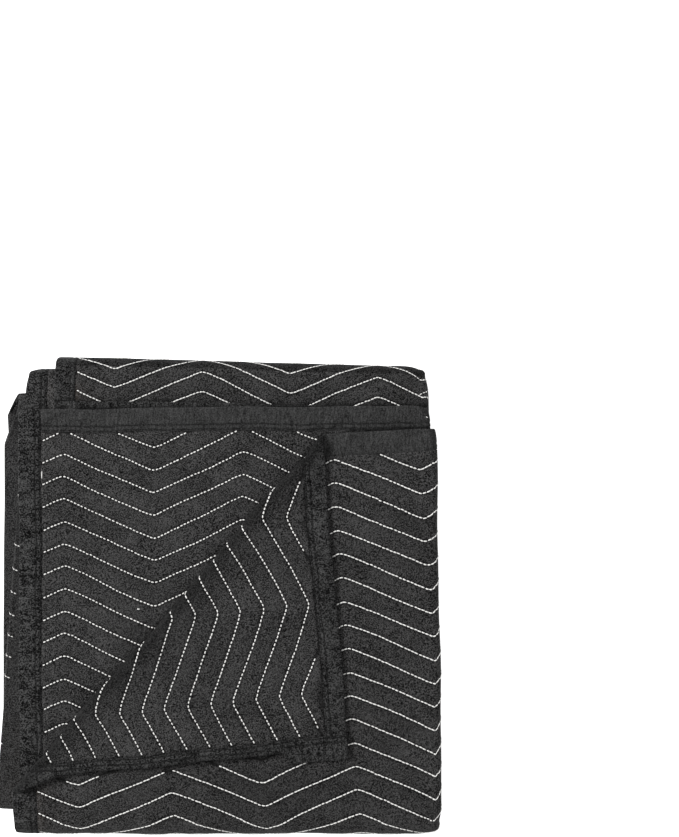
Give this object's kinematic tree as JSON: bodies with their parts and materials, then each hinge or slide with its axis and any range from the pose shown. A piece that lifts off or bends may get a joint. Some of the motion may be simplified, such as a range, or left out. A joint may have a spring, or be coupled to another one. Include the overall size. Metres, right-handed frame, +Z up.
{
  "type": "folded moving pad",
  "caption": "Quilted felt moving pad with bound edges, folded flat into a thick pile, with a corner of its top leaf turned back.",
  "frame": {"origin": "below the middle of the folded pad's bounding box, on the surface that it rests on", "axes": "+X to the right and +Y away from the rolled front edge as the pile lies in front of the viewer, +Z up through the layers"},
  "size_m": [0.4927, 0.5303, 0.0793],
  "materials": {
    "quilted_felt": "matt charcoal non-woven felt with white zigzag quilting",
    "binding_tape": "black non-woven tape, sewn on with black thread",
    "white_thread": "white quilting thread",
    "black_thread": "black seam thread"
  },
  "bodies": {
    "root": {"pad": "quilted_felt", "binding_side_a": "binding_tape", "binding_side_b": "binding_tape", "binding_end_a": "binding_tape", "binding_end_b": "binding_tape"}
  },
  "joints": []
}
